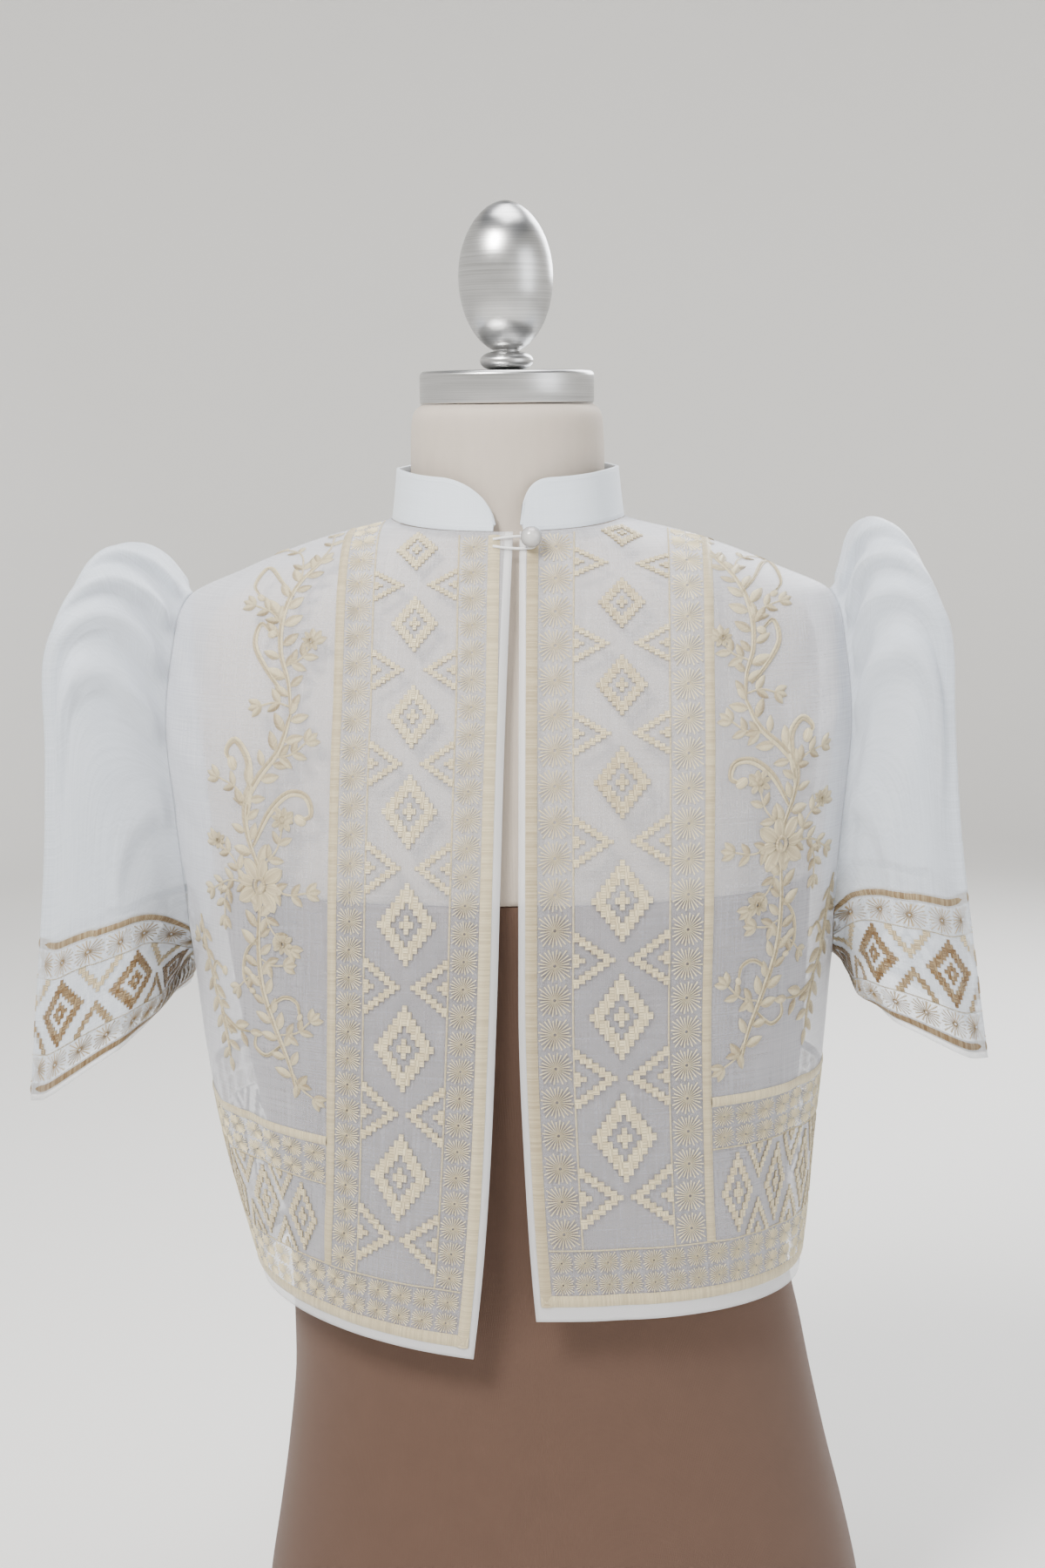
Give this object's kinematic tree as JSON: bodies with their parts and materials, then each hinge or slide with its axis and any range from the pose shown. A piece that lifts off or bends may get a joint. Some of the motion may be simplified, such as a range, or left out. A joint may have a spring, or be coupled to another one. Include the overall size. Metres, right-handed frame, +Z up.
{
  "type": "embroidered butterfly-sleeve bolero on a limbless dress form",
  "caption": "Sheer cropped bolero with butterfly sleeves, stand collar and one loop-and-pearl closure, worn open on a limbless dress form.",
  "frame": {"origin": "middle of the neck's axis on the dress form's flat underside", "axes": "+Z up, the wearer faces -Y, +X is the wearer's left"},
  "size_m": [0.514, 0.2566, 0.8622],
  "materials": {
    "form_cover_tan": "matte knit cover",
    "form_cover_cream": "matte knit cover",
    "brushed_metal": "brushed",
    "body_organza": "sheer organza",
    "sleeve_organza": "crisp doubled organza",
    "collar_cloth": "smooth opaque satin",
    "gold_thread": "satin-stitch embroidery",
    "pearl": "pearly",
    "loop_thread": "twisted thread"
  },
  "bodies": {
    "root": {"form_torso_lower": "form_cover_tan", "form_torso_upper": "form_cover_cream", "form_neck_cap": "brushed_metal", "form_finial": "brushed_metal", "front_left": "body_organza", "front_right": "body_organza", "back": "body_organza", "sleeve_left": "sleeve_organza", "sleeve_right": "sleeve_organza", "collar": "collar_cloth", "button": "pearl", "button_loop": "loop_thread"}
  },
  "joints": []
}
